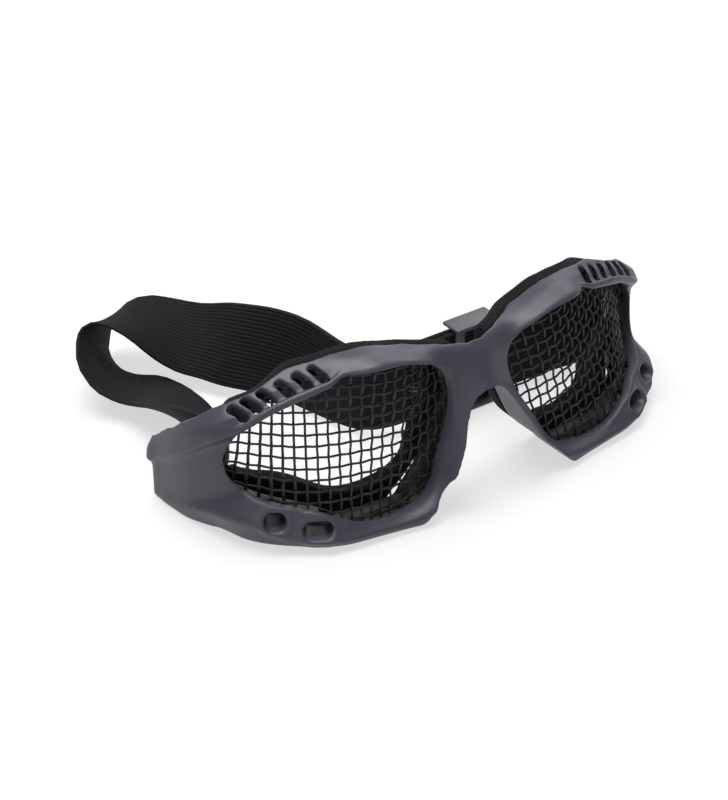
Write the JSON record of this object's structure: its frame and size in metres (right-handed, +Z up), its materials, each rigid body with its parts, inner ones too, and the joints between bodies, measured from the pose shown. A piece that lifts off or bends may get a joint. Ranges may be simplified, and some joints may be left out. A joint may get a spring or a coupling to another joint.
{
  "type": "mesh safety goggles",
  "caption": "Wrap-round safety goggles with woven wire mesh lenses, a soft vented frame, foam liners and an elastic strap with a sliding adjuster.",
  "frame": {"origin": "on the surface that the goggles stand on, under the middle of their overall box", "axes": "+X towards the wearer's left, -Y the front of the lenses, +Z up from the chin side to the brow side"},
  "size_m": [0.1572, 0.1312, 0.0476],
  "materials": {
    "frame_plastic": "satin moulded blue-grey thermoplastic",
    "wire_mesh": "black coated woven steel wire",
    "foam": "black open-cell foam",
    "webbing": "black elastic webbing",
    "slider_plastic": "moulded grey plastic"
  },
  "bodies": {
    "root": {"frame": "frame_plastic", "lens_mesh_left": "wire_mesh", "lens_mesh_right": "wire_mesh", "foam_left": "foam", "foam_right": "foam", "strap": "webbing"},
    "slider": {"slider": "slider_plastic"}
  },
  "joints": [
    {"name": "slider_slide", "type": "slide", "parent": "root", "child": "slider", "axis": [1, 0, 0], "range_m": [-0.01, 0.014]}
  ]
}
